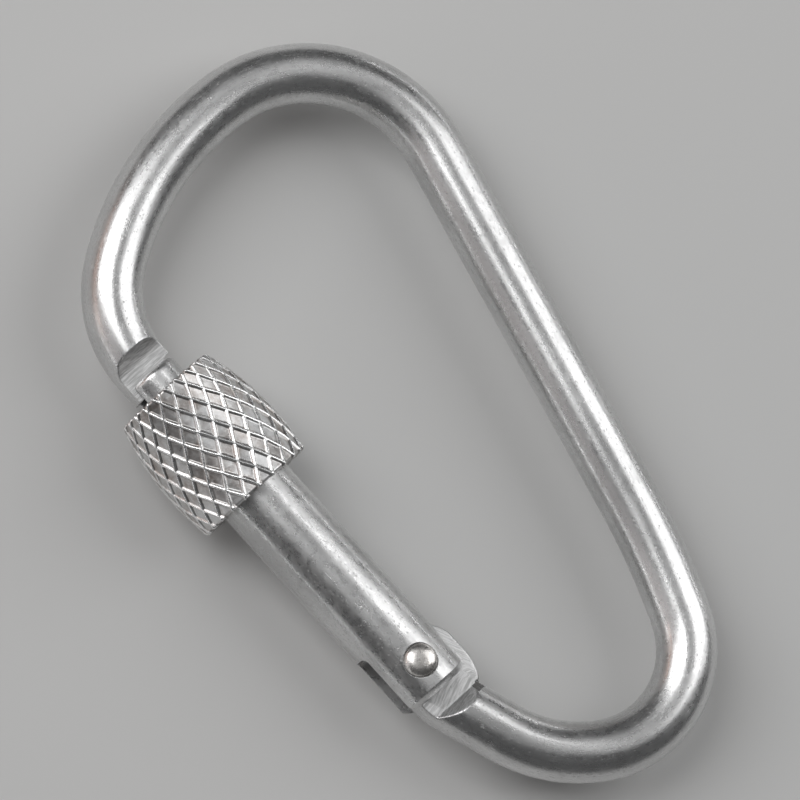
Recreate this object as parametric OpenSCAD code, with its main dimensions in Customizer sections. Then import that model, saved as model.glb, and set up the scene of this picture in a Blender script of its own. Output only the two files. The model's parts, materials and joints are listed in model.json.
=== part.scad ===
// Screw-lock carabiner keyring: a bent rod body, a sprung gate and a knurled locking collar.
// Lies flat: the body's middle plane is level, the spine runs along X, units are millimetres.

/* [Body] */
// Diameter of the bent rod
rod_d = 6; // [4:0.1:10]
// Length of the straight spine
spine_length = 38.9; // [20:0.1:80]
// Radius of the wide bend at the large end, on the rod's centre line
top_radius = 14.05; // [8:0.05:30]
// Radius of the slow curve from the wide bend towards the nose
shoulder_radius = 30.7; // [15:0.1:60]
// Turn of that slow curve, degrees
shoulder_turn = 37.7; // [10:0.1:60]
// Radius of the bend that brings the nose in line with the gate
nose_radius = 11.2; // [6:0.1:25]
// Turn of the nose bend, degrees
nose_turn = 56; // [20:0.1:80]
// Radius of the faint curve after the spine
lead_radius = 77.6; // [30:0.1:150]
// Turn of the faint curve, degrees
lead_turn = 9.5; // [0.5:0.1:20]
// Radius of the tight bend at the small end
foot_radius = 10.25; // [6:0.05:20]
// Turn of the tight bend, degrees
foot_turn = 98.2; // [60:0.1:140]
// Radius of the easing bend before the hinge
heel_radius = 14.9; // [8:0.1:30]
// Turn of the easing bend, degrees
heel_turn = 40.3; // [10:0.1:70]
// Straight rod between the easing bend and the hinge elbow
heel_straight = 6; // [1:0.1:10]
// Radius of the elbow that brings the rod in line with the gate again
elbow_radius = 5; // [3:0.1:10]
// Straight rod after the elbow, inside the hinge slot
elbow_straight = 2.9; // [1:0.1:5]

/* [Hinge] */
// Pivot position along X
pivot_x = 20.61; // [0:0.01:40]
// Pivot position along Y
pivot_y = -8.06; // [-20:0.01:0]
// Angle between the gate and the spine, degrees
gate_angle = 13.85; // [0:0.05:30]
// Thickness of the flattened hinge tang
tang_thickness = 3.4; // [2:0.1:5]
// Radius of the tang's rounded heel
tang_heel_radius = 3.45; // [2:0.05:5]
// Heel centre ahead of the pivot, along the gate
tang_heel_ahead = 0.4; // [0:0.05:2]
// Heel centre inside the pivot, across the gate
tang_heel_inside = 1; // [0:0.05:2]
// Distance from the pivot to the end of the flats
tang_flat_end = 5.2; // [4:0.1:8]
// Length of the sloping shoulder between flat and rod
tang_slope = 1.3; // [0.5:0.1:3]
// Diameter of the rivet's shank
rivet_d = 2; // [1:0.1:4]
// Diameter of the rivet's domed heads
rivet_head_d = 3.32; // [2:0.02:5]
// Height of a head's dome
rivet_dome = 0.75; // [0.2:0.05:1.5]
// Running clearance of the rivet in the tang, on radius
pivot_clearance = 0.05; // [0.02:0.01:0.2]

/* [Gate] */
// Diameter of the gate's barrel
gate_d = 8; // [5:0.1:12]
// Gate length past the pivot
gate_past_pivot = 3.35; // [2:0.05:6]
// Chamfer round the gate's hinge end
gate_chamfer = 0.6; // [0:0.1:1.5]
// Distance from the pivot to the gate's tip
gate_reach = 38.05; // [20:0.05:60]
// Diameter of the turned-down tip
tip_d = 5.5; // [3:0.1:8]
// Length of the turned-down tip
tip_length = 2.95; // [1:0.05:6]
// Width of the hinge slot
hinge_slot = 3.6; // [2:0.1:5]
// Distance from the pivot back to the root of the hinge slot
hinge_slot_root = 3.75; // [2:0.05:8]
// Diameter of the spring bore
spring_bore_d = 3.2; // [2:0.1:5]
// Depth of the spring bore from the pivot
spring_bore_depth = 15; // [8:0.1:25]

/* [Nose] */
// Thickness of the nose tongue
tongue_thickness = 2.6; // [1:0.1:4]
// Radius of the milled step beside the tongue
step_radius = 2; // [1:0.1:4]
// Distance from the pivot to the tongue's end
tongue_end = 36.45; // [20:0.05:60]
// Distance from the pivot to the start of the nose bend
nose_start = 38.9; // [20:0.05:60]
// How far the nose sits outside the gate's axis
nose_offset = 0.15; // [0:0.05:1]
// Width of the slot in the gate's tip
tip_slot = 2.9; // [1:0.1:5]

/* [Collar] */
// Distance from the pivot to the collar's nose face
collar_reach = 35.8; // [20:0.1:60]
// Length of the collar
collar_length = 13.1; // [6:0.1:30]
// Diameter at the nose face
collar_nose_d = 10.9; // [8:0.1:20]
// Largest diameter
collar_mid_d = 13.5; // [9:0.1:24]
// Diameter at the hinge face
collar_back_d = 12.7; // [8:0.1:22]
// Running clearance of the collar on the gate, on radius
collar_clearance = 0.08; // [0.02:0.01:0.3]
// Chamfer of the collar's bore at both faces
collar_bore_chamfer = 0.4; // [0:0.1:1]

/* [Spring] */
// Diameter of the plunger
plunger_d = 3.04; // [2:0.02:5]
// Length of the plunger
plunger_length = 3.2; // [2:0.1:8]
// Gap between plunger and tang heel
plunger_gap = 0.04; // [0:0.01:0.2]
// Diameter of the spring wire
wire_d = 0.45; // [0.2:0.05:1]
// Outer diameter of the spring
spring_d = 2.7; // [2:0.05:5]
// Number of coils
coils = 6; // [3:1:12]

/* [Hidden] */

fine = 96;
big = 60;
lap = 0.1;
seam = 0.05;
mid_z = collar_mid_d / 2;
top_turn = 180 + gate_angle - nose_turn - shoulder_turn;
heel_face = tang_heel_radius - tang_heel_ahead;
seat_z = gate_d / 2 - 0.45;
plunger_face = heel_face + plunger_gap;
spring_start = plunger_face + plunger_length + 0.02;
spring_length = spring_bore_depth - spring_start - 0.02;
coil_pitch = spring_length / coils;
elbow_turn = 360 - nose_turn - shoulder_turn - top_turn - lead_turn - foot_turn - heel_turn;
nose_drop = (collar_mid_d - collar_nose_d) / 2;
back_drop = (collar_mid_d - collar_back_d) / 2;
barrel_split = sqrt(nose_drop / back_drop);
barrel_peak = collar_length * barrel_split / (1 + barrel_split);
barrel_radius = (barrel_peak * barrel_peak + nose_drop * nose_drop) / (2 * nose_drop);

// Puts its children in the gate's own frame: pivot at the origin, gate lying along -X.
module at_pivot() {
    translate([pivot_x, pivot_y, mid_z])
        rotate([0, 0, gate_angle])
            children();
}

// Straight rod along X, with the children carried on from its far end.
// A lapped length is a hair thinner and runs into both neighbours, so the joints are clean.
module straight(length, lap = 0) {
    translate([-lap, 0, 0])
        rotate([0, 90, 0])
            cylinder(d = rod_d - (lap > 0 ? seam : 0), h = length + 2 * lap, $fn = fine);
    translate([length, 0, 0])
        children();
}

// Rod bent to the right by an angle, with the children carried on from its far end.
module bend(radius, turn, lap = 0) {
    extra = lap * 180 / (PI * radius);
    translate([0, -radius, 0])
        rotate([0, 0, 90 - turn - extra])
            rotate_extrude(angle = turn + 2 * extra, $fn = fine)
                translate([radius, 0])
                    circle(d = rod_d - (lap > 0 ? seam : 0), $fn = fine);
    translate([0, -radius, 0])
        rotate([0, 0, -turn])
            translate([0, radius, 0])
                children();
}

// The whole bent rod, followed from the nose round the large end to the hinge.
module rod_path() {
    translate([-nose_start, -nose_offset, 0])
        rotate([0, 0, 180])
            bend(nose_radius, nose_turn)
            bend(shoulder_radius, shoulder_turn, lap)
            bend(top_radius, top_turn)
            straight(spine_length, lap)
            bend(lead_radius, lead_turn)
            bend(foot_radius, foot_turn, lap)
            bend(heel_radius, heel_turn)
            straight(heel_straight, lap)
            bend(elbow_radius, elbow_turn)
            straight(elbow_straight, lap);
}

// Prism drawn in the plane of gate axis and thickness, running across the gate.
module across(width) {
    translate([0, width / 2, 0])
        rotate([90, 0, 0])
            linear_extrude(height = width)
                children();
}

// Waste above one flat of the hinge tang, ending in the sloping shoulder.
module hinge_waste() {
    flat = tang_thickness / 2;
    across(16)
        polygon([
            [-8, flat],
            [tang_flat_end, flat],
            [tang_flat_end + tang_slope, rod_d / 2 + 0.05],
            [tang_flat_end + tang_slope + 0.4, rod_d],
            [-8, rod_d]
        ]);
    translate([tang_flat_end, 2.5, flat - 0.8])
        cube([0.85, 1.1, rod_d]);
}

// Waste above one face of the nose tongue, with the cutter's round step.
module nose_waste() {
    flat = tongue_thickness / 2;
    translate([-nose_start, -8, flat])
        cube([10, 16, rod_d]);
    translate([-nose_start, 8, flat + step_radius])
        rotate([90, 0, 0])
            cylinder(r = step_radius, h = 16, $fn = fine);
}

// Rod stub that becomes the nose tongue, ended on an arc about the pivot.
module tongue_stub() {
    difference() {
        translate([-nose_start, -nose_offset, 0])
            straight(5, lap);
        cylinder(r = tongue_end, h = big, center = true, $fn = 4 * fine);
    }
}

// Tang outline seen from above: round heel, inner lobe and the root of the rod.
module tang_blank() {
    height = tang_thickness + 1;
    translate([tang_heel_ahead, tang_heel_inside, -height / 2])
        cylinder(r = tang_heel_radius, h = height, $fn = fine);
    translate([0, 0, -height / 2])
        linear_extrude(height = height)
            polygon([
                [tang_heel_ahead, -1],
                [tang_heel_ahead + 4.8, -1],
                [tang_heel_ahead + 4.8, 3.65],
                [tang_heel_ahead + 3.8, 4.1],
                [tang_heel_ahead + 2.5, 4.45],
                [tang_heel_ahead, 4.45]
            ]);
}

module frame() {
    color("Silver")
        at_pivot()
            difference() {
                union() {
                    rod_path();
                    tongue_stub();
                    tang_blank();
                }
                hinge_waste();
                mirror([0, 0, 1])
                    hinge_waste();
                nose_waste();
                mirror([0, 0, 1])
                    nose_waste();
                // inner side of the tongue, tapered and stepped to enter the gate's tip
                translate([0, 0, -rod_d])
                    linear_extrude(height = 2 * rod_d)
                        polygon([
                            [-40.1, 3.2],
                            [-39.5, 2.9],
                            [-38.25, 2.55],
                            [-38.25, 1.75],
                            [-33, 1.75],
                            [-33, 4]
                        ]);
                cylinder(d = rivet_d + 2 * pivot_clearance, h = big, center = true, $fn = fine);
            }
}

// Outer form of the gate: barrel, chamfered hinge end and turned-down tip.
module gate_turning() {
    tip_chamfer = 0.5;
    rotate([0, -90, 0])
        translate([0, 0, -gate_past_pivot])
            cylinder(d1 = gate_d - 2 * gate_chamfer, d2 = gate_d, h = gate_chamfer, $fn = fine);
    rotate([0, -90, 0])
        translate([0, 0, gate_chamfer - gate_past_pivot])
            cylinder(d = gate_d, h = gate_reach - tip_length + gate_past_pivot - gate_chamfer, $fn = fine);
    rotate([0, -90, 0])
        cylinder(d = tip_d, h = gate_reach - tip_chamfer, $fn = fine);
    rotate([0, -90, 0])
        translate([0, 0, gate_reach - tip_chamfer])
            cylinder(d1 = tip_d, d2 = tip_d - 2 * tip_chamfer, h = tip_chamfer, $fn = fine);
}

module gate() {
    color("LightGray")
        at_pivot()
            difference() {
                gate_turning();
                // hinge slot, open on both sides
                translate([-hinge_slot_root, -gate_d, -hinge_slot / 2])
                    cube([hinge_slot_root + gate_d, 2 * gate_d, hinge_slot]);
                // slot in the tip, closed on the inner side as the gate's stop
                translate([-gate_reach - 1, -gate_d, -tip_slot / 2])
                    cube([gate_reach + 1 - tongue_end + 1.2, gate_d + 1.95, tip_slot]);
                rotate([0, -90, 0])
                    cylinder(d = spring_bore_d, h = spring_bore_depth, $fn = fine);
                cylinder(d = rivet_d + 0.04, h = big, center = true, $fn = fine);
                // spot faces under the rivet's heads
                translate([0, 0, seat_z])
                    cylinder(d = rivet_head_d + 0.12, h = gate_d, $fn = fine);
                translate([0, 0, -seat_z - gate_d])
                    cylinder(d = rivet_head_d + 0.12, h = gate_d, $fn = fine);
            }
}

// Domed rivet head, sitting on the plane z = 0.
module rivet_head() {
    rim = rivet_head_d / 2;
    ball = (rim * rim + rivet_dome * rivet_dome) / (2 * rivet_dome);
    cylinder(d = rivet_head_d, h = 0.15, $fn = fine);
    intersection() {
        translate([0, 0, 0.15 + rivet_dome - ball])
            sphere(r = ball, $fn = fine);
        translate([0, 0, 0.15])
            cylinder(d = rivet_head_d, h = 2, $fn = fine);
    }
}

module hinge_rivet() {
    head_z = seat_z + 0.02;
    color("Gainsboro")
        at_pivot() {
            cylinder(d = rivet_d, h = 2 * head_z + 0.02, center = true, $fn = fine);
            translate([0, 0, head_z])
                rivet_head();
            rotate([180, 0, 0])
                translate([0, 0, head_z])
                    rivet_head();
        }
}

module collar() {
    bore = gate_d + 2 * collar_clearance;
    color("Silver")
        at_pivot()
            translate([-collar_reach, 0, 0])
                rotate([0, 90, 0])
                    difference() {
                        rotate_extrude($fn = fine)
                            intersection() {
                                square([collar_mid_d, collar_length]);
                                translate([collar_mid_d / 2 - barrel_radius, barrel_peak])
                                    circle(r = barrel_radius, $fn = 4 * fine);
                            }
                        translate([0, 0, -1])
                            cylinder(d = bore, h = collar_length + 2, $fn = fine);
                        translate([0, 0, -0.01])
                            cylinder(d1 = bore + 2 * collar_bore_chamfer, d2 = bore, h = collar_bore_chamfer, $fn = fine);
                        translate([0, 0, collar_length - collar_bore_chamfer + 0.01])
                            cylinder(d1 = bore, d2 = bore + 2 * collar_bore_chamfer, h = collar_bore_chamfer, $fn = fine);
                    }
}

module plunger() {
    color("DarkGray")
        at_pivot()
            translate([-plunger_face, 0, 0])
                rotate([0, -90, 0]) {
                    cylinder(d1 = plunger_d - 0.5, d2 = plunger_d, h = 0.25, $fn = fine);
                    translate([0, 0, 0.25])
                        cylinder(d = plunger_d, h = plunger_length - 0.25, $fn = fine);
                }
}

// Section of the coil across its axis: a crescent that rises through one wire thickness as it turns.
module coil_section() {
    radius = (spring_d - wire_d) / 2;
    span = 180 * wire_d / coil_pitch;
    steps = 6;
    outer = [for (k = [-steps:steps])
        let (t = k / steps, r = radius + wire_d / 2 * sqrt(max(0, 1 - t * t)))
        [r * cos(span * t), r * sin(span * t)]];
    inner = [for (k = [1 - steps:steps - 1])
        let (t = -k / steps, r = radius - wire_d / 2 * sqrt(max(0, 1 - t * t)))
        [r * cos(span * t), r * sin(span * t)]];
    polygon(concat(outer, inner));
}

module gate_spring() {
    color("DimGray")
        at_pivot()
            translate([-spring_start, 0, 0])
                rotate([0, -90, 0])
                    linear_extrude(height = spring_length, twist = 360 * coils, slices = 16 * coils)
                        coil_section();
}

frame();
gate();
collar();
hinge_rivet();
gate_spring();
plunger();
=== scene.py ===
"""Screw-lock carabiner keyring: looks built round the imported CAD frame."""
import json
import math

import bmesh
import bpy
import numpy as np
from mathutils import Matrix, Vector


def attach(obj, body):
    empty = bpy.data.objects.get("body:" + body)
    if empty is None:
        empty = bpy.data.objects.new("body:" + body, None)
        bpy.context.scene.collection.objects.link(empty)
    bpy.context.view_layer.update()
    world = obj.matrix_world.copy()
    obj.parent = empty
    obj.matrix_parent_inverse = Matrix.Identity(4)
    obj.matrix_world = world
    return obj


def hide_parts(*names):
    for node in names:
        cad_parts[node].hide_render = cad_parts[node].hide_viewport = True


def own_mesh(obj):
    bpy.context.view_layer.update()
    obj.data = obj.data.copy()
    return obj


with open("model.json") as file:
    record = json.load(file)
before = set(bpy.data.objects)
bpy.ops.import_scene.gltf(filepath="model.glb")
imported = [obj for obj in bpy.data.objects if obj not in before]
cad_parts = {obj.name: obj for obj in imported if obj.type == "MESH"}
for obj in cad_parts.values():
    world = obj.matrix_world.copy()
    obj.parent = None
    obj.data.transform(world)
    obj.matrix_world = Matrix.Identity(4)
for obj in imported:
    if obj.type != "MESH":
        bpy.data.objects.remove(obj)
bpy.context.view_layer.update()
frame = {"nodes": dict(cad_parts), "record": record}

MM = 0.001

# ---------------------------------------------------------------- the gate's own frame
# Pivot at the origin, the gate lying along -u, +v towards the spine. Lengths below are millimetres.
joints = {j["name"]: j for j in frame["record"]["behaviour"]["joints"]}
pivot = np.array(joints["gate_hinge"]["pos_m"]) / MM
u_axis = np.array(joints["collar_travel"]["axis"], float)
u_axis /= np.linalg.norm(u_axis)
v_axis = np.cross([0, 0, 1], u_axis)
TO_ROW = np.array([u_axis, v_axis, [0, 0, 1]])


def to_row(points):
    """Points of the gate's frame, in mm, as row coordinates in metres."""
    return (np.asarray(points, float) @ TO_ROW + pivot) * MM


def to_gate(points):
    """Row coordinates in metres as points of the gate's frame, in mm."""
    return (np.asarray(points, float) / MM - pivot) @ TO_ROW.T


# ---------------------------------------------------------------- sizes
ROD_R = 3.0
PATH = [  # from the nose round to the hinge: (radius, turn in degrees), or (None, length)
    (None, 2.45), (11.2, 56.0), (30.7, 37.7), (14.05, 100.15), (None, 38.9), (77.6, 9.5),
    (10.25, 98.2), (14.9, 40.3), (None, 6.0), (5.0, 18.15), (None, 2.9),
]
NOSE_START, NOSE_OFFSET = -36.45, -0.15
NOSE_BEND_U = -38.9
TONGUE_HALF, STEP_R = 1.3, 2.0
TANG_HALF, TANG_FLAT_END, TANG_SLOPE = 1.7, 5.2, 1.3
HEEL_C, HEEL_R = (0.4, 1.0), 3.45
GATE_R, GATE_END, GATE_TIP, TIP_R = 4.0, 3.35, -38.05, 2.75
TIP_SHOULDER, TIP_ROUND_U, TIP_ROUND_L, TIP_ROUND_R = -35.1, -37.5, 0.55, 0.62
COLLAR_U, COLLAR_L = -35.8, 13.1
COLLAR_R0, COLLAR_RM, COLLAR_R1, BORE_R = 5.45, 6.75, 6.35, 4.08
RIVET_R, RIVET_HEAD_R, RIVET_DOME, SEAT_Z = 1.0, 1.66, 0.75, 3.55
TANG_HOLE_GAP, GATE_HOLE_GAP, SEAT_GAP = 0.05, 0.02, 0.06
# relief behind the tang, on both faces
NOTCH_U, NOTCH_V, NOTCH_Z = (5.2, 6.05), (2.5, 3.6), (0.9, 6.0)
SLOT_HALF, SLOT_ROOT, SLOT_ROOT_R, SLOT_ROOT_Z = 1.8, -3.05, 0.7, 1.1
TIP_SLOT_HALF, TIP_SLOT_SIDE, TIP_SLOT_END = 1.45, 1.95, -35.25
BORE_DEPTH, SPRING_BORE_R = -15, 1.6
ROUND_SIDES, HOLE_SIDES, RIVET_SIDES = 192, 64, 96
HOLE_END, CUT_END, SEAT_END = 8, 9, 6.0  # past every face that a cutter leaves through


# ---------------------------------------------------------------- mesh helpers
def make_object(name, points, faces):
    """Smooth-shaded mesh object from points of the gate's frame."""
    mesh = bpy.data.meshes.new(name)
    mesh.from_pydata([tuple(p) for p in to_row(points)], [], faces)
    mesh.validate()
    obj = bpy.data.objects.new(name, mesh)
    bpy.context.scene.collection.objects.link(obj)
    mesh.shade_smooth()
    return obj


def add_values(obj, name, values):
    """One number for each vertex, for the materials to read."""
    attribute = obj.data.attributes.new(name, "FLOAT", "POINT")
    attribute.data.foreach_set("value", np.asarray(values).astype(np.float32))


def full_turn(count):
    return np.linspace(0, 2 * math.pi, count, endpoint=False)


def quarter_turn(count):
    return np.radians(np.linspace(0, 90, count))


def grid_faces(rows, cols, closed_rows=False):
    """Quads between rows of points that each go once round."""
    faces = []
    for i in range(rows if closed_rows else rows - 1):
        a, b = i * cols, ((i + 1) % rows) * cols
        for j in range(cols):
            k = (j + 1) % cols
            faces.append((a + j, a + k, b + k, b + j))
    return faces


def capped_faces(rows, cols, first):
    """A grid closed by fans on two end points, the vertices first and first + 1."""
    faces = grid_faces(rows, cols)
    end = (rows - 1) * cols
    for j in range(cols):
        k = (j + 1) % cols
        faces.append((first, k, j))
        faces.append((first + 1, end + j, end + k))
    return faces


def boolean(obj, other, operation):
    """Joins other to obj, or cuts obj with it, and then removes other."""
    mod = obj.modifiers.new("cut", "BOOLEAN")
    mod.operation, mod.solver, mod.object = operation, "EXACT", other
    graph = bpy.context.evaluated_depsgraph_get()
    mesh = bpy.data.meshes.new_from_object(obj.evaluated_get(graph))
    obj.modifiers.clear()
    old, obj.data = obj.data, mesh
    mesh.name = obj.name
    bpy.data.meshes.remove(old)
    bpy.data.objects.remove(other)


def flip_if_inside_out(obj):
    """Turns the faces outwards."""
    bm = bmesh.new()
    bm.from_mesh(obj.data)
    if bm.calc_volume(signed=True) < 0:
        bmesh.ops.reverse_faces(bm, faces=bm.faces)
        bm.to_mesh(obj.data)
    bm.free()


def prism(name, outline, low, high, bevel=0.0, upright=True):
    """Prism on an outline in the u-v plane, its rims softened by bevel.

    With upright off, the outline is in the u-z plane and the prism runs along v.
    """
    count = len(outline)
    points = [(u, v, low) for u, v in outline] + [(u, v, high) for u, v in outline]
    faces = [tuple(range(count))[::-1], tuple(range(count, 2 * count))]
    faces += [(i, (i + 1) % count, count + (i + 1) % count, count + i) for i in range(count)]
    if not upright:
        points = [(u, v, z) for u, z, v in points]
    obj = make_object(name, points, faces)
    if bevel:
        bm = bmesh.new()
        bm.from_mesh(obj.data)
        rims = [e for e in bm.edges if abs(e.verts[0].co.z - e.verts[1].co.z) < 1e-7]
        bmesh.ops.bevel(bm, geom=rims, offset=bevel * MM, segments=4, profile=0.5, affect="EDGES")
        bm.to_mesh(obj.data)
        bm.free()
    flip_if_inside_out(obj)
    return obj


def box_cutter(u, v, z):
    """Box between two places along each axis."""
    outline = [(u[0], v[0]), (u[1], v[0]), (u[1], v[1]), (u[0], v[1])]
    return prism("cutter", outline, z[0], z[1])


def disc(radius, count):
    """Outline of a circle about the pivot."""
    return [(radius * math.cos(t), radius * math.sin(t)) for t in full_turn(count)]


def drill(obj, radius):
    """Round hole right through obj at the pivot."""
    boolean(obj, prism("cutter", disc(radius, HOLE_SIDES), -HOLE_END, HOLE_END), "DIFFERENCE")


def lathe(name, profile, count, axis="u"):
    """Closed solid turned from (along, radius) pairs; it starts and ends on the axis."""
    turn = full_turn(count)
    rings = profile[1:-1]
    points = [
        np.column_stack([np.full(count, along), radius * np.cos(turn), radius * np.sin(turn)])
        for along, radius in rings
    ]
    points = np.vstack(points + [[[profile[0][0], 0, 0]], [[profile[-1][0], 0, 0]]])
    if axis == "z":
        points = points[:, [1, 2, 0]]
    obj = make_object(name, points, capped_faces(len(rings), count, len(points) - 2))
    flip_if_inside_out(obj)
    return obj


def soft_min(value, limit, soft):
    """The smaller of two, with a rounded change between them."""
    d = value - limit
    middle = value - (d + soft) ** 2 / (4 * soft)
    return np.where(d <= -soft, value, np.where(d >= soft, limit, middle))


def finish_mesh(obj, flow, sharp=32):
    """Smooth shading with crisp edges, and the coordinates that follow the metal's grain."""
    mesh = obj.data
    mesh.shade_smooth()
    mesh.set_sharp_from_angle(angle=math.radians(sharp))
    attribute = mesh.attributes.new("flow", "FLOAT_VECTOR", "POINT")
    attribute.data.foreach_set("vector", np.asarray(flow, np.float32).ravel())


def vertex_points(obj):
    co = np.zeros(len(obj.data.vertices) * 3)
    obj.data.vertices.foreach_get("co", co)
    return to_gate(co.reshape(-1, 3))


# ---------------------------------------------------------------- bent rod
NOSE_FINE, HINGE_FINE = 7.5, 9.5  # lengths at the rod's two ends with the finest steps
FINE_STEP, STRAIGHT_STEP, BEND_STEP = 0.09, 0.5, 0.36
NO_LIMIT, GATE_MIDDLE = 9.0, -20
TANG_SINK = 0.01  # the rod's flats lie this far under the tang's
MILL_SOFT, SIDE_SOFT = 0.09, 0.08  # rounding at the rims of the milled faces
# places along the gate, and the side limit of the tongue there
TONGUE_SIDE = ((-40.3, 99.0), (-40.1, 3.2), (-39.5, 2.9), (-38.29, 2.55), (-38.21, 1.75))
NOSE_ZONE_U, NOSE_ZONE_RUN = -33, 20
HINGE_ZONE_U, HINGE_ZONE_V, HINGE_ZONE_RUN = 9, 6, 60
MILLED_FROM, MILLED_NEAR = -6, 0.04  # where the milled look starts, and how near the flats it is
# painted shade in the relief behind the tang: how far past the relief it reaches, and between which
# heights
NOTCH_SHADE_REACH, NOTCH_SHADE_Z = 0.1, (0.6, 1.6)
TANG_BEVEL = 0.22
CHUNK = 4000  # points looked up at a time, to spare memory


def rod_stations():
    """Centre line of the rod: distance along it, place and heading."""
    place, heading, run = np.array([NOSE_START, NOSE_OFFSET]), math.pi, 0.0
    rows = []
    total = sum(a[1] if a[0] is None else a[0] * math.radians(a[1]) for a in PATH)
    for index, (radius, amount) in enumerate(PATH):
        length = amount if radius is None else radius * math.radians(amount)
        done = 0.0
        while done < length - 1e-6:
            if radius is None:
                head = heading
                here = place + done * np.array([math.cos(heading), math.sin(heading)])
            else:
                centre = place + radius * np.array([math.sin(heading), -math.cos(heading)])
                head = heading - done / radius
                here = centre + radius * np.array([-math.sin(head), math.cos(head)])
            rows.append((run + done, here[0], here[1], head))
            near_end = run + done < NOSE_FINE or run + done > total - HINGE_FINE
            step = FINE_STEP if near_end else (STRAIGHT_STEP if radius is None else BEND_STEP)
            done = done + step if length - done > 1.5 * step else length
        if radius is None:
            place = place + length * np.array([math.cos(heading), math.sin(heading)])
        else:
            centre = place + radius * np.array([math.sin(heading), -math.cos(heading)])
            heading -= math.radians(amount)
            place = centre + radius * np.array([-math.sin(heading), math.cos(heading)])
        run += length
    rows.append((run, place[0], place[1], heading))
    return np.array(rows)


def half_height(u):
    """Half the rod's thickness allowed along the gate's axis: tongue, step and hinge tang."""
    nose = np.full_like(u, NO_LIMIT)
    inside = u > NOSE_BEND_U - STEP_R
    fall = np.clip(u - NOSE_BEND_U, -STEP_R, 0)
    nose[inside] = (TONGUE_HALF + STEP_R - np.sqrt(STEP_R ** 2 - fall ** 2))[inside]
    tang = TANG_HALF - TANG_SINK + (u - TANG_FLAT_END) * (ROD_R + 0.05 - TANG_HALF) / TANG_SLOPE
    tang = np.maximum(tang, TANG_HALF - TANG_SINK)
    tang = np.where(u > TANG_FLAT_END + TANG_SLOPE, NO_LIMIT, tang)
    return np.where(u < GATE_MIDDLE, nose, tang)


def inner_side(u):
    """How far inwards the tongue may reach."""
    return np.interp(u, *zip(*TONGUE_SIDE))


def near_nose(u, run):
    return (u < NOSE_ZONE_U) & (run < NOSE_ZONE_RUN)


def near_hinge(u, v, run, start):
    return (u > start) & (u < HINGE_ZONE_U) & (v < HINGE_ZONE_V) & (run > HINGE_ZONE_RUN)


def along_rod(at, stations):
    """Distance along the rod, place across it and height, for points on its surface."""
    flow = np.empty_like(at)
    for start in range(0, len(at), CHUNK):
        part = at[start:start + CHUNK]
        gap = (part[:, None, 0] - stations[None, :, 1]) ** 2
        gap = gap + (part[:, None, 1] - stations[None, :, 2]) ** 2
        near = stations[gap.argmin(1)]
        side = (part[:, 0] - near[:, 1]) * -np.sin(near[:, 3])
        side = side + (part[:, 1] - near[:, 2]) * np.cos(near[:, 3])
        flow[start:start + CHUNK] = np.column_stack([near[:, 0], side, part[:, 2]])
    return flow


def build_frame():
    """The bent rod, thinned to a tongue at the nose and a flat tang at the hinge."""
    stations = rod_stations()
    turn = full_turn(ROUND_SIDES)
    across, up = np.cos(turn), np.sin(turn)
    rows = []
    for _, u, v, head in stations:
        side = np.array([-math.sin(head), math.cos(head)])
        rows.append(np.column_stack([
            u + ROD_R * across * side[0], v + ROD_R * across * side[1], ROD_R * up]))
    points = np.vstack(rows)
    u, v, z = points.T
    run = np.repeat(stations[:, 0], ROUND_SIDES)
    at_nose = near_nose(u, run)
    thinned = near_hinge(u, v, run, GATE_MIDDLE) | at_nose
    flat = np.sign(z) * soft_min(np.abs(z), half_height(u), MILL_SOFT)
    points[:, 2] = np.where(thinned, flat, z)
    points[:, 1] = np.where(at_nose, soft_min(v, inner_side(u), SIDE_SOFT), v)
    faces = capped_faces(len(stations), ROUND_SIDES, len(points))
    ends = [points[:ROUND_SIDES].mean(0), points[-ROUND_SIDES:].mean(0)]
    obj = make_object("frame_rod", np.vstack([points, ends]), faces)
    flip_if_inside_out(obj)

    heel = [(HEEL_C[0] + HEEL_R * math.cos(t), HEEL_C[1] + HEEL_R * math.sin(t))
            for t in np.radians(np.linspace(90, 270, 48))]
    lobe = [(2.6, -2.3), (5.2, -1.2), (5.2, 3.55), (4.75, 3.86),
            (4.2, 4.1), (3.55, 4.3), (2.9, 4.43), (1.6, 4.45)]
    tang = prism("tang", heel + lobe, -TANG_HALF, TANG_HALF, bevel=TANG_BEVEL)
    boolean(obj, tang, "UNION")
    for sign in (1, -1):
        depth = sorted(sign * z for z in NOTCH_Z)
        boolean(obj, box_cutter(NOTCH_U, NOTCH_V, depth), "DIFFERENCE")
    drill(obj, RIVET_R + TANG_HOLE_GAP)

    at = vertex_points(obj)
    flow = along_rod(at, stations)
    finish_mesh(obj, flow)
    u, v, z = at.T
    run = flow[:, 0]
    hinge = near_hinge(u, v, run, MILLED_FROM)
    milled = (np.abs(np.abs(z) - half_height(u)) < MILLED_NEAR) & (hinge | near_nose(u, run))
    # painted shade: the floor and lower walls of the relief behind the tang are marked for a
    # near-black colour
    grime_and_notch_shade = (np.abs(z) > NOTCH_SHADE_Z[0]) & (np.abs(z) < NOTCH_SHADE_Z[1]) & hinge
    for place, (low, high) in ((u, NOTCH_U), (v, NOTCH_V)):
        grime_and_notch_shade &= (place > low - NOTCH_SHADE_REACH) & (place < high + NOTCH_SHADE_REACH)
    add_values(obj, "milled", milled)
    add_values(obj, "grime_and_notch_shade", grime_and_notch_shade)
    return obj


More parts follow.
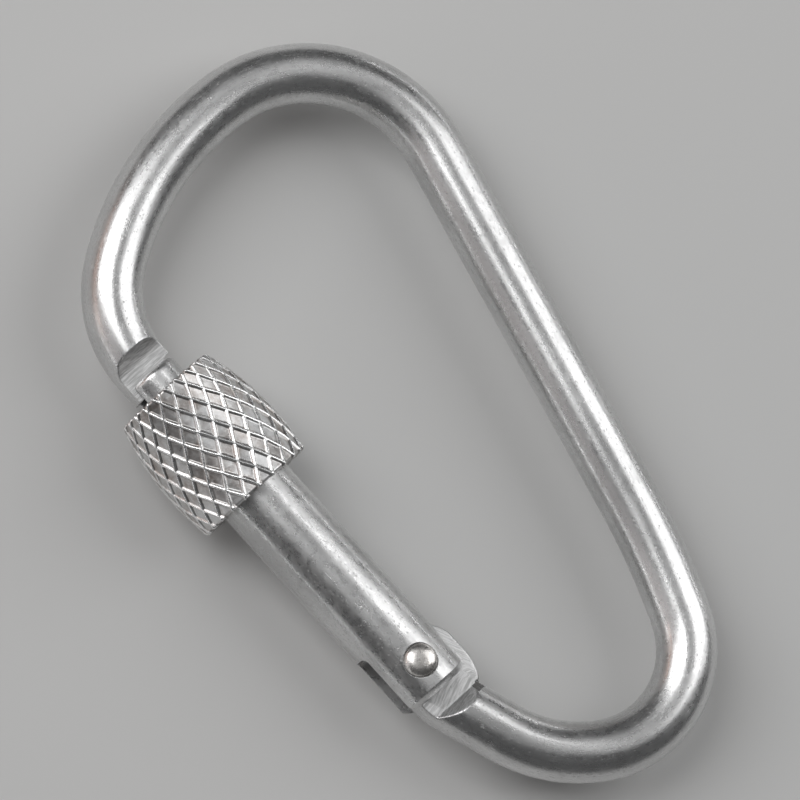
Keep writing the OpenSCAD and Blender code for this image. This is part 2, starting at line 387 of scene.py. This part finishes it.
# ---------------------------------------------------------------- gate
def build_gate():
    """Turned barrel with its tip, hinge slot, tip slot, spring bore, rivet hole and rivet seats."""
    body = [(u, GATE_R) for u in np.arange(2.75, TIP_SHOULDER, -0.4)]
    tip = [(u, TIP_R) for u in np.arange(TIP_SHOULDER, TIP_ROUND_U, -0.3)]
    round_off = [(TIP_ROUND_U - TIP_ROUND_L * math.sin(t), TIP_R - TIP_ROUND_R * (1 - math.cos(t)))
                 for t in quarter_turn(9)]
    profile = [(GATE_END, 0), (GATE_END, 1.7), (GATE_END, 3.3),
               (GATE_END - 0.04, 3.42), (2.8, 3.96)]
    profile += body + [(TIP_SHOULDER, GATE_R), (TIP_SHOULDER, 3.4)] + tip
    profile += round_off + [(GATE_TIP, 1.2), (GATE_TIP, 0)]
    obj = lathe("gate_sleeve", profile, ROUND_SIDES)
    root = [(SLOT_ROOT - SLOT_ROOT_R * math.sin(t), SLOT_ROOT_Z + SLOT_ROOT_R * math.cos(t))
            for t in quarter_turn(8)]
    slot = [(CUT_END, -SLOT_HALF), (CUT_END, SLOT_HALF)] + root
    slot += [(u, -z) for u, z in reversed(root)]
    boolean(obj, prism("cutter", slot, -CUT_END, CUT_END, upright=False), "DIFFERENCE")
    tip_slot = box_cutter((-45, TIP_SLOT_END), (-CUT_END, TIP_SLOT_SIDE),
                          (-TIP_SLOT_HALF, TIP_SLOT_HALF))
    boolean(obj, tip_slot, "DIFFERENCE")
    outline = [(2.5, 0), (2.5, SPRING_BORE_R), (BORE_DEPTH, SPRING_BORE_R), (BORE_DEPTH, 0)]
    bore = lathe("cutter", outline, HOLE_SIDES)
    boolean(obj, bore, "DIFFERENCE")
    drill(obj, RIVET_R + GATE_HOLE_GAP)
    for sign in (1, -1):
        low, high = sorted((sign * SEAT_Z, sign * SEAT_END))
        seat = prism("cutter", disc(RIVET_HEAD_R + SEAT_GAP, RIVET_SIDES), low, high)
        boolean(obj, seat, "DIFFERENCE")
    finish_mesh(obj, vertex_points(obj))
    return obj


# ---------------------------------------------------------------- knurled collar
RIDGE_TURN = 70.0  # degrees that a ridge goes round along the collar
RIDGE_HEIGHT, RIDGE_HALF, RIDGE_CROWN = 0.19, 0.25, 1.25
RIDGE_FAMILIES = ((1, 23, 0.44, 1.0), (-1, 22, 0.31, 0.93))  # hand, starts, phase, height
RIDGE_MEAN_R = 6.5  # radius at which the ridges' width is measured
RIM = 0.22  # rounding of the collar's two rims
WAVER = 0.004  # unevenness of the ridges, in radians
BACK_SPILL, BACK_REACH = 0.13, 0.35  # how far metal is pushed over each rim, and from how far in
NOSE_SPILL, NOSE_REACH = -0.08, 0.3
SPILL_FADE = 2.4  # how quickly it fades across an end
MOUTH = 0.4  # size of the chamfers at the bore's mouths
# depth from the end, distance past the bore, crest
MOUTH_RINGS = ((0.0, 0.42, 0.3), (0.03, 0.37, 0.5), (MOUTH, 0.0, 0.4))
END_CREST, BORE_CREST = 0.25, 0.2
OUTER = 0.6  # all that is this much wider than the bore is the outside
LEVEL_SHARE = 1.3  # how much of the barrel's slope is taken out of its shading; 1 levels it
COLLAR_COLS, COLLAR_LINES = 840, 190


def barrel_radius(s):
    """Radius of the barrel at a distance from its nose end.

    One arc through the nose end and the widest place, within 0.01 mm of COLLAR_R1 at the back.
    """
    nose_drop, back_drop = COLLAR_RM - COLLAR_R0, COLLAR_RM - COLLAR_R1
    split = math.sqrt(nose_drop / back_drop)
    peak = COLLAR_L * split / (1 + split)
    big = (peak ** 2 + nose_drop ** 2) / (2 * nose_drop)
    return COLLAR_RM - big + np.sqrt(big ** 2 - (s - peak) ** 2)


def ridge_pattern(turn, s):
    """1 on the crest of a ridge, 0 between, for the two crossing families."""
    twist = math.radians(RIDGE_TURN) / COLLAR_L
    lean = math.atan(twist * RIDGE_MEAN_R)
    families = []
    for hand, starts, shift, strength in RIDGE_FAMILIES:
        pitch = 2 * math.pi / starts
        phase = (turn + hand * twist * s) / pitch + shift
        off = np.abs(phase - np.round(phase)) * pitch * RIDGE_MEAN_R * math.cos(lean)
        families.append(strength * np.clip(1 - (off / RIDGE_HALF) ** 2, 0, 1) ** RIDGE_CROWN)
    return np.maximum(families[0], families[1])


def build_collar():
    """Knurled barrel on a plain bore: rings from nose end to back, then through the bore."""
    turn = full_turn(COLLAR_COLS)
    rows, crest = [], []
    rng = np.random.default_rng(7)
    waver = sum(rng.uniform(0.3, 1) * np.sin(k * turn + rng.uniform(0, 6.3))
                for k in (3, 7, 12, 19, 31))

    def ring(s, radius, worn):
        """One ring of points, with how far it counts as a crest for the material."""
        s = np.broadcast_to(s, turn.shape)
        radius = np.broadcast_to(radius, turn.shape)
        rows.append(np.column_stack([COLLAR_U + s, radius * np.cos(turn), radius * np.sin(turn)]))
        crest.append(np.broadcast_to(worn, turn.shape))

    def end_face(at, rim_radius, spill, shares):
        """Rings across an end, where the ridges run out towards the bore."""
        height = ridge_pattern(turn + WAVER * waver, at)
        outer = rim_radius - RIM - RIDGE_HEIGHT * (1 - height)
        for share in shares:
            radius = outer + share * (BORE_R + MOUTH - outer)
            ring(at + spill * height * (1 - min(1, SPILL_FADE * share)), radius, END_CREST)

    for s in np.linspace(0, COLLAR_L, COLLAR_LINES):
        height = ridge_pattern(turn + WAVER * waver, s)
        edge = min(s, COLLAR_L - s)
        drop = RIDGE_HEIGHT * (1 - height) + RIM * max(0.0, 1 - edge / RIM) ** 2
        spill = 0.0
        if COLLAR_L - s < BACK_REACH:
            spill = BACK_SPILL * height * (1 - (COLLAR_L - s) / BACK_REACH)
        if s < NOSE_REACH:
            spill = NOSE_SPILL * height * (1 - s / NOSE_REACH)
        ring(s + spill, barrel_radius(s) - drop, height)
    end_face(COLLAR_L, COLLAR_R1, BACK_SPILL, (0.12, 0.3, 0.6, 0.9))
    for depth, wider, worn in MOUTH_RINGS:
        ring(COLLAR_L - depth, BORE_R + wider, worn)
    for s in np.linspace(COLLAR_L - 1, 1, 8):
        ring(s, BORE_R, BORE_CREST)
    for depth, wider, worn in reversed(MOUTH_RINGS):
        ring(depth, BORE_R + wider, worn)
    end_face(0.0, COLLAR_R0, NOSE_SPILL, (0.9, 0.6, 0.3, 0.12))
    faces = grid_faces(len(rows), COLLAR_COLS, closed_rows=True)
    obj = make_object("lock_sleeve", np.vstack(rows), faces)
    add_values(obj, "crest", np.concatenate(crest))
    flip_if_inside_out(obj)
    at = vertex_points(obj)
    finish_mesh(obj, at, sharp=60)
    # the material reads lift as height, which tilts the shading against the barrel's slope
    outside = np.hypot(at[:, 1], at[:, 2]) > BORE_R + OUTER
    lift = -LEVEL_SHARE * barrel_radius(np.clip(at[:, 0] - COLLAR_U, 0, COLLAR_L)) * MM
    add_values(obj, "lift", np.where(outside, lift, 0.0))
    return obj


# ---------------------------------------------------------------- rivet
RIVET_RIM, RIVET_CHAMFER = 0.15, 0.05


def build_rivet():
    """Pin with a flattened dome at each end, built from the lower dome up."""
    head = [(RIVET_RIM + RIVET_DOME * math.sin(t) ** 0.92, RIVET_HEAD_R * math.cos(t) ** 0.8)
            for t in quarter_turn(14)]
    base = SEAT_Z + 0.02
    rim = RIVET_HEAD_R - RIVET_CHAMFER
    up = [(base + h, r) for h, r in head if r > 0.02]
    profile = [(-base - RIVET_RIM - RIVET_DOME, 0)] + [(-h, r) for h, r in reversed(up)]
    profile += [(-base, rim), (-base, RIVET_R), (base, RIVET_R), (base, rim)]
    profile += up + [(base + RIVET_RIM + RIVET_DOME, 0)]
    obj = lathe("rivet_pin", profile, RIVET_SIDES, axis="z")
    finish_mesh(obj, vertex_points(obj)[:, [2, 0, 1]], sharp=40)
    return obj


# ---------------------------------------------------------------- spring
SPRING_U0, SPRING_U1, SPRING_R, WIRE_R, COILS = -6.36, -14.95, 1.125, 0.225, 6
COIL_STEPS, WIRE_SIDES = 40, 12
END_CLOSE = 0.5  # how much closer the end turns are wound


def build_spring():
    """Coil from the plunger back to the bottom of the bore, its end turns wound closer."""
    steps, sides = COIL_STEPS * COILS, WIRE_SIDES
    share = np.linspace(0, 1, steps + 1)
    turn = 2 * math.pi * COILS * share
    ease = share - END_CLOSE * np.sin(2 * math.pi * share) / (2 * math.pi)
    along = SPRING_U0 - WIRE_R + (SPRING_U1 - SPRING_U0 + 2 * WIRE_R) * ease
    path = np.column_stack([along, SPRING_R * np.cos(turn), SPRING_R * np.sin(turn)])
    ahead = np.gradient(path, axis=0)
    ahead /= np.linalg.norm(ahead, axis=1)[:, None]
    outward = np.column_stack([np.zeros_like(turn), np.cos(turn), np.sin(turn)])
    side = np.cross(ahead, outward)
    rows = []
    for k in range(sides):
        a = 2 * math.pi * k / sides
        rows.append(path + WIRE_R * (math.cos(a) * outward + math.sin(a) * side))
    points = np.stack(rows, axis=1).reshape(-1, 3)
    faces = grid_faces(steps + 1, sides)
    faces += [tuple(range(sides))[::-1], tuple(range(steps * sides, (steps + 1) * sides))]
    obj = make_object("gate_coil", points, faces)
    flip_if_inside_out(obj)
    finish_mesh(obj, vertex_points(obj), sharp=50)
    return obj


# ---------------------------------------------------------------- materials
class Nodes:
    """Small helper that wires a node material."""

    def __init__(self, name):
        self.material = bpy.data.materials.new(name)
        self.material.use_nodes = True
        self.tree = self.material.node_tree
        self.tree.nodes.clear()
        self.shader = self.add("BsdfPrincipled")
        out = self.add("OutputMaterial")
        self.link(self.shader.outputs["BSDF"], out.inputs["Surface"])

    def add(self, kind, **settings):
        node = self.tree.nodes.new("ShaderNode" + kind)
        for key, value in settings.items():
            setattr(node, key, value)
        return node

    def link(self, source, target):
        self.tree.links.new(source, target)

    def feed(self, node, name, value):
        if isinstance(value, bpy.types.NodeSocket):
            self.link(value, node.inputs[name])
        elif value is not None:
            node.inputs[name].default_value = value

    def flow(self, stretch=(1, 1, 1)):
        source = self.add("Attribute", attribute_name="flow").outputs["Vector"]
        if stretch == (1, 1, 1):
            return source
        node = self.add("Mapping")
        node.inputs["Scale"].default_value = stretch
        self.link(source, node.inputs["Vector"])
        return node.outputs["Vector"]

    def noise(self, scale, detail=3.0, rough=0.5, stretch=(1, 1, 1), twist=0.0):
        node = self.add("TexNoise")
        self.feed(node, "Vector", self.flow(stretch))
        self.feed(node, "Scale", scale)
        self.feed(node, "Detail", detail)
        self.feed(node, "Roughness", rough)
        self.feed(node, "Distortion", twist)
        return node.outputs["Fac"]

    def cells(self, scale, stretch=(1, 1, 1)):
        node = self.add("TexVoronoi")
        self.feed(node, "Vector", self.flow(stretch))
        self.feed(node, "Scale", scale)
        return node.outputs["Distance"], node.outputs["Color"]

    def span(self, value, low, high, to_low=0.0, to_high=1.0):
        node = self.add("MapRange")
        node.clamp = True
        names = ("Value", "From Min", "From Max", "To Min", "To Max")
        for name, item in zip(names, (value, low, high, to_low, to_high)):
            self.feed(node, name, item)
        return node.outputs["Result"]

    def math(self, operation, a, b=0.5):
        node = self.add("Math", operation=operation)
        self.feed(node, 0, a)
        self.feed(node, 1, b)
        return node.outputs[0]

    def mix(self, share, a, b):
        node = self.add("Mix", data_type="RGBA")
        self.feed(node, 0, share)
        self.feed(node, 6, a)
        self.feed(node, 7, b)
        return node.outputs[2]

    def bump(self, height, distance, normal=None):
        node = self.add("Bump")
        node.inputs["Strength"].default_value = 1.0
        self.feed(node, "Distance", distance)
        self.feed(node, "Height", height)
        self.feed(node, "Normal", normal)
        return node.outputs["Normal"]

    def edges(self, radius):
        """A rounded-edge normal, and a mask that is 1 along the edges."""
        rounded = self.add("Bevel", samples=6)
        rounded.inputs["Radius"].default_value = radius
        flat = self.add("NewGeometry").outputs["Normal"]
        dot = self.add("VectorMath", operation="DOT_PRODUCT")
        self.link(rounded.outputs["Normal"], dot.inputs[0])
        self.link(flat, dot.inputs[1])
        return rounded.outputs["Normal"], self.span(dot.outputs["Value"], 0.995, 0.9)


def grey(level, warm=0.0):
    """A grey, a little redder and less blue as it gets warmer."""
    return (level * (1 + warm), level, level * (1 - warm), 1.0)


def brushed_metal(name, light, dark, rough, grain=1.0, pits=1.0, edge=0.00009, scuffs=1.0,
                  warm=0.0, dents=1.0, coat=0.0):
    """Satin, handled metal: clouded, drawn lengthwise, lightly pitted, brighter along its edges.

    coat is a thin clear layer, for crisp lines at grazing angles.
    """
    n = Nodes(name)
    cloud = n.noise(0.22, 4.0, 0.6, (0.35, 1, 1), 0.4)
    mottle = n.noise(1.6, 5.0, 0.65, (0.6, 1, 1), 0.3)
    drawn = n.noise(3.2, 6.0, 0.7, (0.035, 1, 1))
    fine = n.noise(9.0, 4.0, 0.7, (0.25, 1, 1))
    distance, pick = n.cells(1.3)
    split = n.add("SeparateColor")
    n.link(pick, split.inputs[0])
    pit = n.math("MULTIPLY", n.span(distance, 0.13, 0.05), n.span(split.outputs[0], 0.45, 0.5))
    scratch_a = n.noise(2.2, 2.0, 0.5, (0.12, 1.0, 2.0), 1.5)
    scratch = n.span(n.math("ABSOLUTE", n.math("SUBTRACT", scratch_a, 0.5)), 0.010, 0.0)
    lines = n.math("MULTIPLY", scratch, n.span(n.noise(0.5, 2.0), 0.52, 0.62))

    body = n.mix(n.span(cloud, 0.35, 0.68), grey(dark, warm * 2), grey(light, warm))
    body = n.mix(n.span(mottle, 0.56, 0.80, 0.0, 0.30 * scuffs), body,
                 grey(dark * 0.72, 0.02 + warm))
    body = n.mix(n.math("MULTIPLY", pit, 0.55 * pits), body, grey(0.30, 0.03))
    speck_distance, speck_pick = n.cells(4.6, (0.6, 1, 1))
    split = n.add("SeparateColor")
    n.link(speck_pick, split.inputs[0])
    speck = n.math("MULTIPLY", n.span(speck_distance, 0.42, 0.12),
                   n.span(split.outputs[1], 0.62, 0.75))
    body = n.mix(n.math("MULTIPLY", speck, 0.28 * scuffs), body, grey(dark * 0.55, 0.02))
    milled = n.add("Attribute", attribute_name="milled").outputs["Fac"]
    grime_and_notch_shade = n.add("Attribute", attribute_name="grime_and_notch_shade").outputs["Fac"]
    cutter = n.noise(5.0, 3.0, 0.6, (1.6, 0.12, 1.6))
    share = n.math("MULTIPLY", milled, 0.75)
    marks = n.mix(n.span(cutter, 0.36, 0.64), grey(0.36), grey(0.80))
    body = n.mix(share, body, marks)
    # painted shade: near black in the relief behind the tang, where the frame's mask is set
    body = n.mix(n.math("MULTIPLY", grime_and_notch_shade, 0.85), body, grey(0.07, 0.05))
    normal, rim = n.edges(edge)
    body = n.mix(n.math("MULTIPLY", rim, 0.5), body, grey(0.93))
    n.link(body, n.shader.inputs["Base Color"])

    roughness = n.span(mottle, 0.32, 0.72, rough[0], rough[1])
    roughness = n.math("ADD", roughness, n.span(drawn, 0.3, 0.75, -0.03, 0.05))
    roughness = n.math("ADD", roughness, n.math("MULTIPLY", pit, 0.25))
    roughness = n.math("ADD", roughness, n.math("MULTIPLY", speck, 0.12 * scuffs))
    roughness = n.math("ADD", roughness, n.math("MULTIPLY", milled, 0.14))
    roughness = n.math("SUBTRACT", roughness, n.math("MULTIPLY", rim, 0.06))
    n.link(roughness, n.shader.inputs["Roughness"])

    wave = n.bump(n.noise(0.55, 3.0, 0.5, (0.5, 1, 1)), 0.000022 * dents, normal)
    grain_height = n.math("ADD", n.math("MULTIPLY", drawn, 0.6), n.math("MULTIPLY", fine, 0.5))
    satin = n.bump(grain_height, 0.0000065 * grain, wave)
    hammer = n.bump(mottle, 0.0000085 * dents, satin)
    cut = n.bump(n.math("MULTIPLY", milled, cutter), 0.000018, hammer)
    grit = n.bump(speck, 0.0000050 * grain, cut)
    dots = n.bump(n.math("SUBTRACT", 1.0, pit), 0.000012 * pits, grit)
    cuts = n.bump(n.math("SUBTRACT", 1.0, lines), 0.0000030 * scuffs, dots)
    n.link(cuts, n.shader.inputs["Normal"])
    n.shader.inputs["Metallic"].default_value = 1.0
    n.shader.inputs["Coat Weight"].default_value = coat
    n.shader.inputs["Coat Roughness"].default_value = 0.06
    return n.material


def knurled_metal(name):
    """Bright crests worn smooth, duller fields, darker and browner at the foot of each ridge, on
    the ends and in the bore.
    """
    n = Nodes(name)
    crest = n.add("Attribute", attribute_name="crest").outputs["Fac"]
    mottle = n.noise(1.9, 5.0, 0.65, twist=0.5)
    grime_and_notch_shade = n.noise(0.35, 4.0, 0.6, twist=0.6)
    fine = n.noise(11.0, 4.0, 0.7)
    field = n.mix(n.span(grime_and_notch_shade, 0.34, 0.60), (0.42, 0.375, 0.35, 1), grey(0.72))
    field = n.mix(n.span(mottle, 0.45, 0.75, 0.0, 0.6), field, grey(0.92))
    # darker and browner where the crest value is low but not zero: the foot of each ridge, the ends
    # and the bore
    corner = n.math("MULTIPLY", n.span(crest, 0.0, 0.10), n.span(crest, 0.5, 0.12))
    field = n.mix(n.math("MULTIPLY", corner, 0.45), field, (0.20, 0.175, 0.155, 1))
    worn = n.span(crest, 0.45, 0.85)
    n.link(n.mix(worn, field, grey(0.95)), n.shader.inputs["Base Color"])
    roughness = n.span(mottle, 0.3, 0.75, 0.26, 0.40)
    roughness = n.math("SUBTRACT", roughness, n.math("MULTIPLY", worn, 0.08))
    n.link(roughness, n.shader.inputs["Roughness"])
    lift = n.add("Attribute", attribute_name="lift").outputs["Fac"]
    level = n.bump(lift, 1.0)
    hollow = n.bump(mottle, 0.000018, level)
    grit = n.bump(fine, 0.0000055, hollow)
    n.link(grit, n.shader.inputs["Normal"])
    n.shader.inputs["Metallic"].default_value = 1.0
    return n.material


def wear_plain(obj, material):
    """A CAD node keeps its mesh and gets a better material in its own slots."""
    if not obj.material_slots:
        obj.data.materials.append(material)
    for item in obj.material_slots:
        item.material = material


def spring_metal(name, level, rough):
    """Drawn wire and turned pin, seen only inside the bore; the grain is from object space."""
    n = Nodes(name)
    place = n.add("TexCoord").outputs["Object"]
    cloud = n.add("TexNoise")
    n.link(place, cloud.inputs["Vector"])
    cloud.inputs["Scale"].default_value = 900
    cloud.inputs["Detail"].default_value = 5
    spot = n.add("TexNoise")
    n.link(place, spot.inputs["Vector"])
    spot.inputs["Scale"].default_value = 4200
    colour = n.mix(n.span(cloud.outputs["Fac"], 0.35, 0.7), grey(level * 0.6, 0.05), grey(level))
    n.link(colour, n.shader.inputs["Base Color"])
    n.link(n.span(spot.outputs["Fac"], 0.3, 0.7, rough, rough + 0.18), n.shader.inputs["Roughness"])
    n.link(n.bump(spot.outputs["Fac"], 0.000004), n.shader.inputs["Normal"])
    n.shader.inputs["Metallic"].default_value = 1.0
    return n.material


# ---------------------------------------------------------------- the pieces
pieces = [
    (build_frame(), "body", "frame",
     brushed_metal("rod_metal", 0.76, 0.54, rough=(0.23, 0.34), grain=1.5, scuffs=1.2,
                   edge=0.00012, dents=0.25, coat=0.6)),
    (build_gate(), "gate_arm", "gate",
     brushed_metal("gate_metal", 0.78, 0.52, rough=(0.22, 0.38), grain=1.5, scuffs=1.6,
                   dents=0.65, coat=0.6)),
    (build_collar(), "lock_collar", "collar", knurled_metal("collar_metal")),
    (build_spring(), "gate_arm", "gate_spring", spring_metal("spring_metal", 0.55, 0.24)),
    (build_rivet(), "gate_arm", "hinge_rivet",
     brushed_metal("rivet_metal", 0.86, 0.62, rough=(0.20, 0.36), warm=0.02, pits=0.6)),
]
for piece, body, node, material in pieces:
    piece.data.materials.clear()
    piece.data.materials.append(material)
    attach(piece, body)
    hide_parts(node)
    if node == "gate_spring":
        # the coil closes towards the bottom of the bore as the gate opens
        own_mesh(piece)
wear_plain(frame["nodes"]["plunger"], spring_metal("plunger_metal", 0.62, 0.28))


# ---------------------------------------------------------------- floor, light and camera
FLOOR_HALF = 3.0
AIM = Vector((-0.0028, 0.00354, 0.00675))  # the point the camera and every light face
LIGHTS = [  # name, azimuth, zenith, (width, height), radiance, distance, colour
    ("key", 82, 47, (0.44, 0.60), 2.0, 0.7, (1, 1, 1)),
    ("second", 216, 38, (0.34, 0.60), 3.4, 0.7, (1, 1, 1)),
    ("overhead", 170, 12, (1.1, 1.1), 0.24, 0.9, (1, 1, 1)),
    ("fill_south", 254, 62, (0.36, 0.50), 0.46, 0.7, (1.0, 0.95, 0.95)),
    ("low_warm", 228, 76, (0.6, 0.22), 0.55, 0.7, (1.0, 0.74, 0.64)),
    ("line_north", 104, 84, (0.7, 0.03), 4.0, 0.7, (1, 1, 1)),
    ("line_south", 268, 83, (0.7, 0.03), 3.0, 0.7, (1, 1, 1)),
]
VIEW_AZIMUTH, VIEW_ELEVATION, VIEW_ROLL = -72.19, 74.97, 43.9
VIEW_DISTANCE, VIEW_LENS, SENSOR = 0.52, 239.85, 36.0


def build_floor():
    """Plain pale floor under the collar, which is the lowest part."""
    half = FLOOR_HALF
    corners = [(-half, -half, 0.0), (half, -half, 0.0), (half, half, 0.0), (-half, half, 0.0)]
    mesh = bpy.data.meshes.new("floor")
    mesh.from_pydata(corners, [], [(0, 1, 2, 3)])
    floor = bpy.data.objects.new("floor", mesh)
    bpy.context.scene.collection.objects.link(floor)
    n = Nodes("floor_paper")
    n.shader.inputs["Base Color"].default_value = (0.62, 0.62, 0.615, 1)
    n.shader.inputs["Roughness"].default_value = 0.9
    n.shader.inputs["Specular IOR Level"].default_value = 0.2
    floor.data.materials.append(n.material)


def soft_light(name, azimuth, zenith, size, radiance, distance, colour):
    """Rectangular soft light; azimuth from +X, zenith angle from straight up, in degrees."""
    a, z = math.radians(azimuth), math.radians(zenith)
    away = Vector((math.sin(z) * math.cos(a), math.sin(z) * math.sin(a), math.cos(z)))
    lamp = bpy.data.lights.new(name, "AREA")
    lamp.shape = "RECTANGLE"
    lamp.size, lamp.size_y = size
    lamp.energy = radiance * math.pi * size[0] * size[1]
    lamp.color = colour
    obj = bpy.data.objects.new(name, lamp)
    bpy.context.scene.collection.objects.link(obj)
    facing = away.to_track_quat("Z", "Y").to_matrix().to_4x4()
    obj.matrix_world = Matrix.Translation(AIM + away * distance) @ facing
    obj.visible_camera = False


def build_light():
    """The soft lights, and a faint even surround."""
    for row in LIGHTS:
        soft_light(*row)
    world = bpy.data.worlds.new("studio")
    bpy.context.scene.world = world
    world.use_nodes = True
    background = world.node_tree.nodes["Background"]
    background.inputs["Color"].default_value = (0.98, 0.99, 1.0, 1)
    background.inputs["Strength"].default_value = 0.09


def build_camera():
    """Camera at the photograph's angle."""
    a, e = math.radians(VIEW_AZIMUTH), math.radians(VIEW_ELEVATION)
    toward = Vector((math.cos(e) * math.cos(a), math.cos(e) * math.sin(a), math.sin(e)))
    right = Vector((0, 0, 1)).cross(toward).normalized()
    above = toward.cross(right)
    turn = Matrix((right, above, toward)).transposed().to_4x4()
    data = bpy.data.cameras.new("camera")
    data.lens, data.sensor_width = VIEW_LENS, SENSOR
    data.clip_start, data.clip_end = 0.01, 20
    camera = bpy.data.objects.new("camera", data)
    bpy.context.scene.collection.objects.link(camera)
    camera.matrix_world = Matrix.Translation(AIM + toward * VIEW_DISTANCE) @ turn \
        @ Matrix.Rotation(math.radians(VIEW_ROLL), 4, "Z")
    bpy.context.scene.camera = camera


build_floor()
build_light()
build_camera()
bpy.context.scene.view_settings.view_transform = "Standard"
